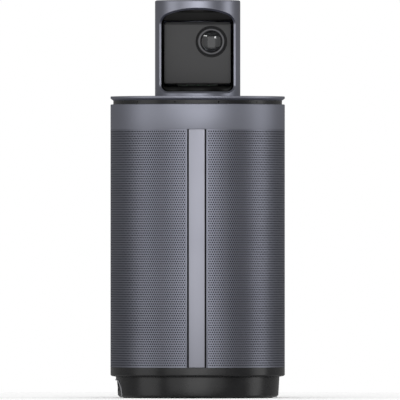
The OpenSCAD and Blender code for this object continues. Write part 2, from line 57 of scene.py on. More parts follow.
def pick(piece):
    nothingSelected()
    piece.select_set(True)
    bpy.context.view_layer.objects.active = piece


def placeFixed(piece):
    pick(piece)
    bpy.ops.object.transform_apply(location=True, rotation=True, scale=True)


def smoothed(piece, angle=32):
    pick(piece)
    bpy.ops.object.shade_smooth_by_angle(angle=math.radians(angle))


def applied(piece, kind, **settings):
    pick(piece)
    step = piece.modifiers.new(kind.lower(), kind)
    for key, value in settings.items():
        setattr(step, key, value)
    bpy.ops.object.modifier_apply(modifier=step.name)


def softEdges(piece, width, segments=3, angle=35):
    applied(piece, "BEVEL", width=width * mm, segments=segments, limit_method="ANGLE",
            angle_limit=math.radians(angle), harden_normals=False)


def cutAway(piece, *tools, operation="DIFFERENCE"):
    for tool in tools:
        applied(piece, "BOOLEAN", object=tool, operation=operation, solver="EXACT")
        bpy.data.objects.remove(tool, do_unlink=True)


def outline(name, points):
    # one vertex, walked round the outline by extruding it
    nothingSelected()
    bpy.ops.mesh.primitive_plane_add(size=1 * mm)
    piece = bpy.context.object
    piece.name = name
    bpy.ops.object.mode_set(mode="EDIT")
    bpy.ops.mesh.select_all(action="SELECT")
    bpy.ops.mesh.merge(type="CENTER")
    last = Vector((0, 0, 0))
    for i, point in enumerate(points):
        here = Vector(point) * mm
        if i == 0:
            bpy.ops.transform.translate(value=here)
        else:
            bpy.ops.mesh.extrude_vertices_move(TRANSFORM_OT_translate={"value": here - last})
        last = here
    return piece


def turned(name, profile, steps=192, closed=True, sweep=360, start=0):
    # the profile is radius and height, spun about the upright axis
    ring = list(profile)
    piece = outline(name, [(r, 0, z) for r, z in ring] + ([(ring[0][0], 0, ring[0][1])] if closed else []))
    bpy.ops.mesh.select_all(action="SELECT")
    if closed:
        bpy.ops.mesh.remove_doubles(threshold=1e-6)
    if start:
        bpy.ops.transform.rotate(value=-math.radians(start), orient_axis="Z", center_override=(0, 0, 0))
    bpy.ops.mesh.select_all(action="SELECT")
    bpy.ops.mesh.spin(steps=steps, angle=-math.radians(sweep), center=(0, 0, 0), axis=(0, 0, 1))
    bpy.ops.mesh.select_all(action="SELECT")
    bpy.ops.mesh.remove_doubles(threshold=1e-6)
    bpy.ops.mesh.delete_loose()
    bpy.ops.mesh.select_all(action="DESELECT")
    if sweep < 360:
        bpy.ops.mesh.select_non_manifold()
        bpy.ops.mesh.edge_face_add()
    bpy.ops.mesh.select_all(action="SELECT")
    bpy.ops.mesh.normals_make_consistent(inside=False)
    bpy.ops.object.mode_set(mode="OBJECT")
    return piece


def prism(name, points, vector):
    # a flat outline filled and pulled out along one direction
    piece = outline(name, points + [points[0]])
    bpy.ops.mesh.select_all(action="SELECT")
    bpy.ops.mesh.remove_doubles(threshold=1e-6)
    bpy.ops.mesh.edge_face_add()
    bpy.ops.mesh.extrude_region_move(TRANSFORM_OT_translate={"value": Vector(vector) * mm})
    bpy.ops.mesh.select_all(action="SELECT")
    bpy.ops.mesh.normals_make_consistent(inside=False)
    bpy.ops.object.mode_set(mode="OBJECT")
    return piece


def block(name, low, high):
    nothingSelected()
    centre = [(a + b) / 2 * mm for a, b in zip(low, high)]
    bpy.ops.mesh.primitive_cube_add(size=1, location=centre,
                                    scale=[(b - a) * mm for a, b in zip(low, high)])
    piece = bpy.context.object
    piece.name = name
    placeFixed(piece)
    return piece


def drill(radius, depth, centre, turn=(0, 0, 0), sides=48):
    nothingSelected()
    bpy.ops.mesh.primitive_cylinder_add(vertices=sides, radius=radius * mm, depth=depth * mm,
                                        location=Vector(centre) * mm,
                                        rotation=[math.radians(t) for t in turn])
    piece = bpy.context.object
    placeFixed(piece)
    return piece


def arcPoints(x, z, radius, start, end, steps=10):
    angles = [math.radians(start + (end - start) * i / steps) for i in range(steps + 1)]
    return [(x + radius * math.cos(a), z + radius * math.sin(a)) for a in angles]


def roundedOutline(half, low, high, topRadius, lowRadius, steps=10):
    return (arcPoints(-half + lowRadius, low + lowRadius, lowRadius, 180, 270, steps)
            + arcPoints(half - lowRadius, low + lowRadius, lowRadius, 270, 360, steps)
            + arcPoints(half - topRadius, high - topRadius, topRadius, 0, 90, steps)
            + arcPoints(-half + topRadius, high - topRadius, topRadius, 90, 180, steps))


def addNode(tree, kind, settings=None, links=None):
    node = tree.nodes.new(kind)
    for key, value in (settings or {}).items():
        if isinstance(key, int) or key in node.inputs:
            node.inputs[key].default_value = value
        else:
            setattr(node, key, value)
    for key, source in (links or {}).items():
        tree.links.new(source, node.inputs[key])
    return node


def newMaterial(name):
    material = bpy.data.materials.new(name)
    material.use_nodes = True
    tree = material.node_tree
    tree.nodes.clear()
    where = addNode(tree, "ShaderNodeTexCoord").outputs["Object"]
    shader = addNode(tree, "ShaderNodeBsdfPrincipled")
    addNode(tree, "ShaderNodeOutputMaterial", links={"Surface": shader.outputs[0]})
    return material, tree, where, shader


def ramp(tree, source, stops):
    node = addNode(tree, "ShaderNodeValToRGB", links={"Fac": source})
    node.color_ramp.elements[0].position = stops[0][0]
    node.color_ramp.elements[0].color = stops[0][1]
    node.color_ramp.elements[1].position = stops[-1][0]
    node.color_ramp.elements[1].color = stops[-1][1]
    for place, colour in stops[1:-1]:
        node.color_ramp.elements.new(place).color = colour
    return node


def finished(piece, body, material, stands=()):
    piece.data.materials.clear()
    piece.data.materials.append(material)
    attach(piece, body)
    if stands:
        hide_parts(*stands)
    return piece


def dress(material, *nodes):
    # a kept solid takes the better material in its own slots
    for name in nodes:
        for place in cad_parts[name].material_slots:
            place.material = material


def limits(node):
    # the CAD solid's own box, in millimetres
    low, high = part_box(node)
    return [v / mm for v in low], [v / mm for v in high]


def levels(node):
    low, high = limits(node)
    return low[2], high[2]


def widest(node):
    return limits(node)[1][0]


def middle(node):
    low, high = limits(node)
    return [(a + b) / 2 for a, b in zip(low, high)]


def anodisedAluminium(name, colour, dark, roughness, grainDepth):
    # bead-blasted and anodised: fine even sparkle-free grain, slightly uneven tint, soft broad reflections
    material, tree, where, shader = newMaterial(name)
    blast = addNode(tree, "ShaderNodeTexNoise", {"Scale": 1 / (0.35 * mm), "Detail": 3.0, "Roughness": 0.6},
                    {"Vector": where})
    tint = addNode(tree, "ShaderNodeTexNoise", {"Scale": 1 / (38 * mm), "Detail": 2.0}, {"Vector": where})
    tone = ramp(tree, tint.outputs["Fac"], [(0.35, hexColour(dark)), (0.65, hexColour(colour))])
    gloss = addNode(tree, "ShaderNodeMapRange",
                    {"From Min": 0.3, "From Max": 0.7, "To Min": roughness - 0.03,
                     "To Max": roughness + 0.04},
                    {"Value": blast.outputs["Fac"]})
    bump = addNode(tree, "ShaderNodeBump", {"Strength": grainDepth, "Distance": 0.02 * mm},
                   {"Height": blast.outputs["Fac"]})
    shader.inputs["Metallic"].default_value = 1.0
    tree.links.new(tone.outputs["Color"], shader.inputs["Base Color"])
    tree.links.new(gloss.outputs["Result"], shader.inputs["Roughness"])
    tree.links.new(bump.outputs["Normal"], shader.inputs["Normal"])
    return material


def mouldedPlastic(name, colour, lighter, roughness, grain, depth, specular=0.5):
    # moulded against a spark-eroded tool: fine pebble grain, faint mottling, no flow lines
    material, tree, where, shader = newMaterial(name)
    pebble = addNode(tree, "ShaderNodeTexVoronoi", {"Scale": 1 / (grain * mm), "feature": "SMOOTH_F1"},
                     {"Vector": where})
    cloudy = addNode(tree, "ShaderNodeTexNoise", {"Scale": 1 / (14 * mm), "Detail": 3.0}, {"Vector": where})
    tone = ramp(tree, cloudy.outputs["Fac"], [(0.3, hexColour(colour)), (0.7, hexColour(lighter))])
    gloss = addNode(tree, "ShaderNodeMapRange",
                    {"From Min": 0.25, "From Max": 0.75, "To Min": roughness - 0.04,
                     "To Max": roughness + 0.05},
                    {"Value": cloudy.outputs["Fac"]})
    bump = addNode(tree, "ShaderNodeBump", {"Strength": depth, "Distance": 0.03 * mm},
                   {"Height": pebble.outputs["Distance"]})
    shader.inputs["Specular IOR Level"].default_value = specular
    tree.links.new(tone.outputs["Color"], shader.inputs["Base Color"])
    tree.links.new(gloss.outputs["Result"], shader.inputs["Roughness"])
    tree.links.new(bump.outputs["Normal"], shader.inputs["Normal"])
    return material


def machinedMetal(name, colour, darker, roughness, spacing):
    # turned or drawn metal: fine parallel tool marks across the height, dull between them
    material, tree, where, shader = newMaterial(name)
    marks = addNode(tree, "ShaderNodeTexWave",
                    {"Scale": 1 / (spacing * mm), "Distortion": 1.5, "Detail": 2.0,
                     "bands_direction": "Z"}, {"Vector": where})
    tone = ramp(tree, marks.outputs["Fac"], [(0.2, hexColour(darker)), (0.8, hexColour(colour))])
    bump = addNode(tree, "ShaderNodeBump", {"Strength": 0.2, "Distance": 0.01 * mm},
                   {"Height": marks.outputs["Fac"]})
    shader.inputs["Metallic"].default_value = 1.0
    shader.inputs["Roughness"].default_value = roughness
    tree.links.new(tone.outputs["Color"], shader.inputs["Base Color"])
    tree.links.new(bump.outputs["Normal"], shader.inputs["Normal"])
    return material


def wovenCloth(name, colour, lighter, thread):
    # plain-weave polyester behind the holes: over-and-under threads, matt with a faint sheen
    material, tree, where, shader = newMaterial(name)
    upright = addNode(tree, "ShaderNodeTexWave",
                      {"Scale": 1 / (thread * 6.28 * mm), "bands_direction": "Z"},
                      {"Vector": where})
    across = addNode(tree, "ShaderNodeTexWave",
                     {"Scale": 1 / (thread * 6.28 * mm), "bands_direction": "DIAGONAL"},
                     {"Vector": where})
    weave = addNode(tree, "ShaderNodeMath", {"operation": "MULTIPLY"},
                    {0: upright.outputs["Fac"], 1: across.outputs["Fac"]})
    tone = ramp(tree, weave.outputs[0], [(0.1, hexColour(colour)), (0.8, hexColour(lighter))])
    bump = addNode(tree, "ShaderNodeBump", {"Strength": 0.6, "Distance": 0.1 * mm},
                   {"Height": weave.outputs[0]})
    shader.inputs["Roughness"].default_value = 0.9
    shader.inputs["Sheen Weight"].default_value = 0.15
    tree.links.new(tone.outputs["Color"], shader.inputs["Base Color"])
    tree.links.new(bump.outputs["Normal"], shader.inputs["Normal"])
    return material


def polishedGlass(name, colour, density, shine):
    # ground and polished optical glass: its coating sets how much it mirrors, faint smears dull it
    material, tree, where, shader = newMaterial(name)
    smear = addNode(tree, "ShaderNodeTexNoise", {"Scale": 1 / (5 * mm), "Detail": 4.0}, {"Vector": where})
    gloss = addNode(tree, "ShaderNodeMapRange",
                    {"From Min": 0.45, "From Max": 0.8, "To Min": 0.0, "To Max": 0.05},
                    {"Value": smear.outputs["Fac"]})
    shader.inputs["Base Color"].default_value = hexColour(colour)
    shader.inputs["Transmission Weight"].default_value = 1.0
    shader.inputs["IOR"].default_value = density
    shader.inputs["Specular IOR Level"].default_value = shine
    tree.links.new(gloss.outputs["Result"], shader.inputs["Roughness"])
    return material


def solderMask(name):
    # glass-fibre board under green solder mask: copper tracks show as slightly raised, lighter lines
    material, tree, where, shader = newMaterial(name)
    tracks = addNode(tree, "ShaderNodeTexBrick",
                     {"Scale": 1 / (14 * mm), "Mortar Size": 0.04, "Color1": hexColour("#0f3d24"),
                      "Color2": hexColour("#123f29"),
                      "Mortar": hexColour("#2c6a44")},
                     {"Vector": where})
    bump = addNode(tree, "ShaderNodeBump", {"Strength": 0.4, "Distance": 0.04 * mm},
                   {"Height": tracks.outputs["Fac"]})
    shader.inputs["Roughness"].default_value = 0.28
    tree.links.new(tracks.outputs["Color"], shader.inputs["Base Color"])
    tree.links.new(bump.outputs["Normal"], shader.inputs["Normal"])
    return material


shellMetal = anodisedAluminium("anodisedShell", "#a2a4b0", "#9c9eaa", 0.38, 0.12)
bandMetal = anodisedAluminium("blastedAnodisedBand", "#a3a5b1", "#9ea0ac", 0.5, 0.14)
stripMetal = anodisedAluminium("anodisedStrip", "#9a9ba5", "#9697a1", 0.38, 0.12)
grilleMetal = anodisedAluminium("paintedPerforatedSteel", "#9496a2", "#8e909c", 0.42, 0.1)
blackPlastic = mouldedPlastic("mouldedAbsBlack", "#141415", "#1a1a1b", 0.26, 0.5, 0.12)
innerPlastic = mouldedPlastic("mouldedAbsInner", "#161617", "#1d1d1e", 0.55, 0.7, 0.2)
# black polycarbonate liner, darkened further than the plastic's own colour and with weakened reflections:
# partly real black plastic, partly painted shade inside the window recess
linerPlasticAndShade = mouldedPlastic("polycarbonateWithPaintedShade", "#050505", "#080808", 0.3, 0.9, 0.02, 0.16)
bezelPlastic = mouldedPlastic("satinBezelPlastic", "#2e2e2f", "#313132", 0.5, 0.35, 0.1)
buttonPlastic = mouldedPlastic("polishedButtonAbs", "#0d0d0e", "#121213", 0.22, 0.6, 0.04)
portPlastic = mouldedPlastic("socketNylon", "#101011", "#161617", 0.4, 0.4, 0.15)
trapPaint = mouldedPlastic("opticalBlackPaint", "#0b0b0b", "#101010", 0.8, 0.3, 0.3, 0.2)
# darker than the bezel: painted shade for the groove round the lens
grooveShadePaint = mouldedPlastic("paintedGrooveShade", "#1e1e1f", "#232324", 0.7, 0.3, 0.2, 0.3)
# light grey bead plastic: its pale colour is a painted highlight on the edge of the socket recess
rimHighlightPlastic = mouldedPlastic("paintedHighlightBead", "#77777a", "#808083", 0.35, 0.3, 0.1)
symbolInk = mouldedPlastic("printedSymbolInk", "#c9cad0", "#d4d5da", 0.5, 0.3, 0.05)
footRubber = mouldedPlastic("siliconeRubber", "#0e0e0e", "#171717", 0.75, 0.25, 0.5, 0.3)
gearNylon = mouldedPlastic("acetalWhite", "#cfcdc2", "#dad8cf", 0.45, 0.5, 0.1)
conePaper = mouldedPlastic("pressedPaperCone", "#141415", "#202022", 0.85, 1.1, 0.6, 0.3)
steelMetal = machinedMetal("zincPlatedSteel", "#b8b9bd", "#9a9ba0", 0.3, 0.6)
darkSteel = machinedMetal("blackOxideSteel", "#1d1d1f", "#151516", 0.5, 0.6)
brassMetal = machinedMetal("turnedBrass", "#c9a45a", "#b08c45", 0.28, 0.5)
copperWire = machinedMetal("enamelledCopper", "#b5683a", "#8c4a26", 0.35, 0.3)
sinkAluminium = machinedMetal("extrudedAluminium", "#c4c5c9", "#aeb0b4", 0.38, 0.8)
lensMetal = machinedMetal("blackAnodisedRing", "#646466", "#5a5a5c", 0.42, 0.25)
backCloth = wovenCloth("acousticCloth", "#08080a", "#131316", 0.4)
lensGlass = polishedGlass("smokedFlintGlass", "#565a5e", 1.62, 0.5)
innerGlass = polishedGlass("multiCoatedGlass", "#e6ecea", 1.5, 0.06)
boardMask = solderMask("greenSolderMask")
print("materials ready")

roundSteps = 256  # sides of every large round piece

# black base: a drafted cup with an arched socket recess, and the wider ring over it
cup = {"footIn": 1.9, "draftIn": 0.7, "chamfer": 1.2, "wall": 2.6, "bore": 38.1, "grooveIn": 39.9,
       "grooveOut": 48.1, "archHalf": 18.5, "archTop": 11.4, "archRound": 8.8, "recess": 0.6,
       "edge": 0.25, "bead": 0.5, "toolFar": -60, "toolLong": 16, "panelBack": 49.15}
cupLow, cupTop = levels("base_cup")
cupRadius = widest("base_cup")
footTop = levels("rubber_foot")[1]


def cupProfile(inset):
    return [(cupRadius - cup["footIn"] - inset, cupLow),
            (cupRadius - cup["draftIn"] - inset, cupLow + cup["chamfer"]),
            (cupRadius - inset, cupTop)]


def archTool(grow):
    # the recess opens to the unit's left-hand side
    half, top, r = cup["archHalf"] + grow, cup["archTop"] + grow, cup["archRound"]
    points = [(-half, -2), (half, -2)] + arcPoints(half - r, top - r, r, 0, 90)
    points += arcPoints(-half + r, top - r, r, 90, 180)
    return prism("arch", [(cup["toolFar"], y, z) for y, z in points], (cup["toolLong"], 0, 0))


shell = turned("base_cup_shell", [(cup["bore"], cupLow), (cup["grooveIn"], cupLow),
                                  (cup["grooveIn"], footTop),
                                  (cup["grooveOut"], footTop), (cup["grooveOut"], cupLow)] + cupProfile(0)
               + [(cupRadius - cup["wall"], cupTop), (cupRadius - cup["wall"], cupLow + cup["wall"]),
                  (cup["bore"], cupLow + cup["wall"])], roundSteps)
cutAway(shell, archTool(0))
softEdges(shell, cup["edge"], 2, 30)
smoothed(shell)
finished(shell, "base", blackPlastic, ["base_cup"])

# pale grey bead round the recess, its light colour a painted highlight along the arch's edge: a round cord
# walked along the arch where it meets the cup's side
half, top, r = cup["archHalf"], cup["archTop"], cup["archRound"]
path = [(-half, cupLow + 0.8 + 0.2 * i) for i in range(6)] + arcPoints(-half + r, top - r, r, 180, 90, 14)
path += [(half - r - (half - r) * 2 * i / 12, top) for i in range(11, 0, -1)]
path += arcPoints(half - r, top - r, r, 90, 0, 14)
path += [(half, cupLow + 1.8 - 0.2 * i) for i in range(6)]


def cupSide(z):
    low, high = cupProfile(0)[1:]
    return low[0] + (high[0] - low[0]) * (z - low[1]) / (high[1] - low[1])


bead = outline("recess_highlight_bead", [(-math.sqrt(cupSide(z) ** 2 - y * y), y, z) for y, z in path])
bpy.ops.object.mode_set(mode="OBJECT")
pick(bead)
bpy.ops.object.convert(target="CURVE")
bead.data.bevel_depth = cup["bead"] * mm
bead.data.bevel_resolution = 3
bead.data.use_fill_caps = True
pick(bead)
bpy.ops.object.convert(target="MESH")
bead = bpy.context.object
bpy.ops.object.mode_set(mode="EDIT")
bpy.ops.mesh.select_all(action="SELECT")
bpy.ops.mesh.remove_doubles(threshold=1e-6)
bpy.ops.mesh.fill_holes(sides=0)
bpy.ops.mesh.normals_make_consistent(inside=False)
bpy.ops.object.mode_set(mode="OBJECT")
smoothed(bead, 60)
finished(bead, "base", rimHighlightPlastic)

sockets = {"powerY": 10.0, "powerRadius": 3.4, "audioY": -9.5, "audioRadius": 2.6, "usbHalf": 4.5,
           "usbHigh": 1.6, "usbRound": 1.59, "z": 6.6}
panel = turned("socket_panel", [(cup["panelBack"], cupLow)] + cupProfile(cup["recess"])
               + [(cup["panelBack"], cupTop)],
               roundSteps)
cutAway(panel, archTool(-0.12), operation="INTERSECT")
slotShape = roundedOutline(sockets["usbHalf"], -sockets["usbHigh"], sockets["usbHigh"], sockets["usbRound"],
                           sockets["usbRound"], 6)
cutAway(panel, drill(sockets["powerRadius"], 12, (-50, sockets["powerY"], sockets["z"]), (0, 90, 0)),
        drill(sockets["audioRadius"], 12, (-50, sockets["audioY"], sockets["z"]), (0, 90, 0)),
        prism("slot", [(-58, y, sockets["z"] + z) for y, z in slotShape], (16, 0, 0)))
softEdges(panel, 0.12, 2, 40)
smoothed(panel)
finished(panel, "base", blackPlastic, ["port_panel"])

collar = {"bore": 50, "coneIn": 0.8, "coneHigh": 0.5, "lipHigh": 0.7, "edge": 0.25}
collarLow, collarTop = levels("base_ring")
collarRadius = widest("base_ring")
ring = turned("base_ring_turned", [(collar["bore"], collarLow), (cupRadius, collarLow),
                                   (collarRadius - collar["coneIn"], collarLow + collar["coneHigh"]),
                                   (collarRadius, collarLow + collar["coneHigh"] + collar["lipHigh"]),
                                   (collarRadius, collarTop), (collar["bore"], collarTop)],
              roundSteps)
softEdges(ring, collar["edge"], 3, 25)
smoothed(ring)
finished(ring, "base", blackPlastic, ["base_ring"])
print("base ready")

# perforated sleeve: eight rolled panels of punched sheet, staggered holes, with plain folded borders
sleeve = {"grooveHalf": 6.15, "rows": 100, "columns": 28, "panels": 8, "holeRadius": 0.5, "sheet": 0.5,
          "margin": 0.7, "edgeWidth": 1.0, "foldDepth": 0.8, "proud": 0.02, "seam": 0.15}
sleeveLow, sleeveTop = levels("grille_sleeve")
sleeveRadius = widest("grille_sleeve")
grooveAngle = math.asin(sleeve["grooveHalf"] / sleeveRadius)
arcLength = (2 * math.pi - 2 * grooveAngle) * sleeveRadius
pitchX = (arcLength - 2 * sleeve["seam"]) / (sleeve["columns"] * sleeve["panels"] + 0.5)
pitchZ = (sleeveTop - sleeveLow - 2 * sleeve["margin"]) / sleeve["rows"]


def holeCell(x, z):
    # one octagonal hole in its own square of sheet: the hole's edge is extruded, then squared off
    nothingSelected()
    bpy.ops.mesh.primitive_circle_add(vertices=8, radius=sleeve["holeRadius"] * mm, fill_type="NOTHING")
    cell = bpy.context.object
    bpy.ops.object.mode_set(mode="EDIT")
    bpy.ops.mesh.select_all(action="SELECT")
    bpy.ops.mesh.extrude_edges_move(TRANSFORM_OT_translate={"value": (0, 0, 0)})
    data = bmesh.from_edit_mesh(cell.data)
    for v in data.verts:
        if v.select:
            v.co.x = max(-1, min(1, round(v.co.x / (0.35 * mm)))) * pitchX / 2 * mm
            v.co.y = max(-1, min(1, round(v.co.y / (0.35 * mm)))) * pitchZ / 2 * mm
    bmesh.update_edit_mesh(cell.data)
    bpy.ops.object.mode_set(mode="OBJECT")
    cell.rotation_euler = (math.radians(90), 0, 0)
    cell.location = (x * mm, 0, z * mm)
    placeFixed(cell)
    return cell


def repeated(piece, count, step):
    applied(piece, "ARRAY", count=count, use_relative_offset=False, use_constant_offset=True,
            constant_offset_displace=step, use_merge_vertices=True, merge_threshold=1e-5)


sheet = holeCell(pitchX / 2, pitchZ / 2)
shifted = holeCell(pitchX, pitchZ * 1.5)
pick(sheet)
shifted.select_set(True)
bpy.ops.object.join()
sheet.name = "perforated_panel_1"
repeated(sheet, sleeve["columns"], (pitchX * mm, 0, 0))
repeated(sheet, sleeve["rows"] // 2, (0, 0, 2 * pitchZ * mm))
pick(sheet)
bpy.ops.object.mode_set(mode="EDIT")
bpy.ops.mesh.select_all(action="SELECT")
bpy.ops.mesh.remove_doubles(threshold=1e-5)
bpy.ops.object.mode_set(mode="OBJECT")
firstAngle = -math.pi / 2 + grooveAngle + sleeve["seam"] / sleeveRadius
for v in sheet.data.vertices:  # the flat sheet is rolled round the body
    a = firstAngle + v.co.x / (sleeveRadius * mm)
    v.co = (sleeveRadius * mm * math.cos(a), sleeveRadius * mm * math.sin(a), v.co.z
            + (sleeveLow + sleeve["margin"]) * mm)
pick(sheet)
bpy.ops.object.mode_set(mode="EDIT")
bpy.ops.mesh.select_all(action="SELECT")
bpy.ops.mesh.normals_make_consistent(inside=False)
bpy.ops.object.mode_set(mode="OBJECT")
firstFace = sheet.data.polygons[0]
if firstFace.normal.dot(Vector((firstFace.center.x, firstFace.center.y, 0))) < 0:
    sheet.data.flip_normals()
applied(sheet, "SOLIDIFY", thickness=sleeve["sheet"] * mm, offset=-1)
smoothed(sheet, 40)
finished(sheet, "base", grilleMetal, ["grille_sleeve"])
panelAngle = pitchX * sleeve["columns"] / sleeveRadius
for i in range(1, sleeve["panels"]):
    another = sheet.copy()
    another.data = sheet.data.copy()
    another.name = "perforated_panel_%d" % (i + 1)
    bpy.context.collection.objects.link(another)
    another.data.transform(Matrix.Rotation(panelAngle * i, 4, "Z"))
    finished(another, "base", grilleMetal)

grooveDegrees = math.degrees(grooveAngle)
edgeDegrees = math.degrees(sleeve["edgeWidth"] / sleeveRadius)
foldIn = sleeveRadius - sleeve["foldDepth"]
foldOut = sleeveRadius + sleeve["proud"]
for name, start in (("sleeve_edge_right", grooveDegrees - 90),
                    ("sleeve_edge_left", 270 - grooveDegrees - edgeDegrees)):
    edge = turned(name, [(foldIn, sleeveLow + 0.02), (foldOut + 0.01, sleeveLow + 0.02),
                         (foldOut + 0.01, sleeveTop - 0.02),
                         (foldIn, sleeveTop - 0.02)], 6, True, edgeDegrees, start)
    softEdges(edge, 0.12, 2, 50)
    smoothed(edge)
    finished(edge, "base", grilleMetal)
for name, low in (("sleeve_border_low", sleeveLow + 0.02),
                  ("sleeve_border_top", sleeveTop - sleeve["margin"] - 0.02)):
    border = turned(name, [(foldIn, low), (foldOut, low), (foldOut, low + sleeve["margin"]),
                           (foldIn, low + sleeve["margin"])],
                    240, True, 360 - 2 * grooveDegrees, grooveDegrees - 90)
    smoothed(border)
    finished(border, "base", grilleMetal)
dress(backCloth, "cloth_liner")
print("perforated sleeve ready:", len(sheet.data.polygons) * sleeve["panels"], "faces")

# plain strip down the front, in the groove between the sleeve's edges
strip = {"thick": 1.4, "gap": 0.05, "edge": 0.15}
stripLow, stripTop = levels("front_strip")
stripOut = -limits("front_strip")[0][1]
stripDegrees = 2 * math.degrees(math.asin(widest("front_strip") / stripOut))
bar = turned("front_strip_bar", [(stripOut - strip["thick"], stripLow + strip["gap"]),
                                 (stripOut, stripLow + strip["gap"]),
                                 (stripOut, stripTop - strip["gap"]),
                                 (stripOut - strip["thick"], stripTop - strip["gap"])],
             16, True, stripDegrees, -90 - stripDegrees / 2)
softEdges(bar, strip["edge"], 3, 50)
smoothed(bar)
finished(bar, "base", stripMetal, ["front_strip"])

# turned upper band, the black neck under the deck, and the deck with its four buttons
band = {"thick": 2.6, "topEdge": 0.35, "edge": 0.15}
bandLow, bandTop = levels("upper_band")
bandRadius = widest("upper_band")
collarBand = turned("upper_band_turned", [(bandRadius - band["thick"], bandLow), (bandRadius, bandLow),
                                          (bandRadius, bandTop - band["topEdge"]),
                                          (bandRadius - band["topEdge"], bandTop),
                                          (bandRadius - band["thick"], bandTop)], roundSteps)
softEdges(collarBand, band["edge"], 2, 25)
smoothed(collarBand)
finished(collarBand, "base", bandMetal, ["upper_band"])

neck = {"thick": 4.0, "ports": 12, "portRadius": 0.5}
neckLow, neckTop = levels("neck_ring")
neckRadius = widest("neck_ring")
neckRing = turned("neck_ring_turned",
                  [(neckRadius - neck["thick"], neckLow), (neckRadius, neckLow), (neckRadius, neckTop),
                   (neckRadius - neck["thick"], neckTop)], roundSteps)
portAngles = [15 + 360 * i / neck["ports"] for i in range(neck["ports"])]
cutAway(neckRing, *[drill(neck["portRadius"], 8, (neckRadius * math.cos(math.radians(a)),
                                                  neckRadius * math.sin(math.radians(a)),
                                                  (neckLow + neckTop) / 2),
                          (0, 90, a), 12) for a in portAngles])
smoothed(neckRing)
finished(neckRing, "base", blackPlastic, ["neck_ring"])

deck = {"rim": 1.3, "edge": 0.2, "recess": 0.8, "headGap": 0.5, "hole": 3.9, "bore": 8.65, "soft": 0.18}
deckLow, deckTop = levels("deck_plate")
deckRadius = widest("deck_plate")
headRadius = widest("head_shell")
buttonNames = ["call_button", "volume_down_button", "volume_up_button", "mute_button"]
plate = turned("deck_plate_turned", [(deck["bore"], deckLow), (neckRadius, deckLow),
                                     (deckRadius, deckTop - deck["rim"]),
                                     (deckRadius, deckTop - deck["edge"]),
                                     (deckRadius - deck["edge"], deckTop),
                                     (headRadius + deck["headGap"], deckTop),
                                     (headRadius + deck["headGap"], deckTop - deck["recess"]),
                                     (deck["bore"], deckTop - deck["recess"])], roundSteps)
cutAway(plate, *[drill(deck["hole"], 8, (middle(name)[0], middle(name)[1], deckTop))
                 for name in buttonNames])
softEdges(plate, deck["soft"], 2, 30)
smoothed(plate, 18)
finished(plate, "base", bandMetal, ["deck_plate"])

button = {"radius": 3.6, "flange": 4.6, "flangeHigh": 0.35, "dish": 0.16, "markHigh": 0.07, "arm": 1.3,
          "line": 0.22, "lip": 0.15, "dishOut": 2.9, "dishIn": 1.6}
for name in buttonNames:
    x, y, _ = middle(name)
    low, top = levels(name)
    cap = turned(name + "_cap", [(0, low), (button["flange"], low),
                                 (button["flange"], low + button["flangeHigh"]),
                                 (button["radius"], low + button["flangeHigh"]),
                                 (button["radius"], top - button["lip"]),
                                 (button["radius"] - button["lip"], top), (button["dishOut"], top - 0.02),
                                 (button["dishIn"], top - 0.12),
                                 (0, top - button["dish"])], 64, False)
    cap.location = (x * mm, y * mm, 0)
    placeFixed(cap)
    smoothed(cap, 40)
    finished(cap, name, buttonPlastic, [name])
    long, thin = button["arm"], button["line"]
    strokes = {"call_button": [], "volume_down_button": [(long, thin)],
               "volume_up_button": [(long, thin), (thin, long)],
               "mute_button": [(long + 0.2, thin)]}[name]
    floorLevel = top - button["dish"] - 0.04
    markTop = top - button["markHigh"]
    marks = [block(name + "_mark", (-w, -h, floorLevel), (w, h, markTop)) for w, h in strokes]
    if name in ("call_button", "mute_button"):
        marks.append(turned(name + "_mark",
                            [(long - 0.05, floorLevel), (long + 0.25, floorLevel), (long + 0.25, markTop),
                             (long - 0.05, markTop)], 40))
    pick(marks[0])
    for other in marks[1:]:
        other.select_set(True)
    if len(marks) > 1:
        bpy.ops.object.join()
    mark = bpy.context.object
    mark.name = name + "_symbol"
    mark.rotation_euler = (0, 0, math.atan2(y, x) + math.radians(135 if name == "mute_button" else 90))
    mark.location = (x * mm, y * mm, 0)
    placeFixed(mark)
    finished(mark, name, symbolInk)
print("band and deck ready")

# head shell: a capped tube whose window is cut through the round wall with an even chamfer all round
head = {"wall": 2.0, "topEdge": 0.8, "topTurn": 0.25, "windowIn": 4.1, "windowDrop": 6.2,
        "windowRise": 3.4, "slope": 22.8, "corner": 7.0, "lowCorner": 4.6, "chamfer": 1.2, "depth": 9.5}
headLow, headTop = levels("head_shell")


def windowOutline():
    # the upper edge lies in a slanting plane, so from the front it is an arch
    k = math.tan(math.radians(head["slope"]))
    top, low, half = headTop - head["windowDrop"], headLow + head["windowRise"], headRadius - head["windowIn"]
    r, lowR = head["corner"], head["lowCorner"]

    def drop(x):
        return k * (headRadius - math.sqrt(headRadius ** 2 - x * x))

    tilt = math.radians(19.5)
    for _ in range(4):
        meet = half - r + r * math.sin(tilt)
        tilt = math.atan(k * meet / math.sqrt(headRadius ** 2 - meet * meet))
    centreZ = top - drop(meet) - r * math.cos(tilt)
    steep = 90 - math.degrees(tilt)
    flat = half - lowR
    return (arcPoints(-flat, low + lowR, lowR, 180, 270)
            + [(flat * (i / 12 - 1), low) for i in range(1, 24)]
            + arcPoints(flat, low + lowR, lowR, 270, 360) + arcPoints(half - r, centreZ, r, 0, steep)
            + [(meet * (1 - i / 12), top - drop(meet * (1 - i / 12))) for i in range(1, 24)]
            + arcPoints(-half + r, centreZ, r, 180 - steep, 180))


def grownOutline(points, grow):
    # each point moves out square to its neighbours
    grown = []
    for i, (x, z) in enumerate(points):
        (xa, za), (xb, zb) = points[i - 1], points[(i + 1) % len(points)]
        size = math.hypot(xb - xa, zb - za)
        grown.append((x + grow * (zb - za) / size, z - grow * (xb - xa) / size))
    return grown


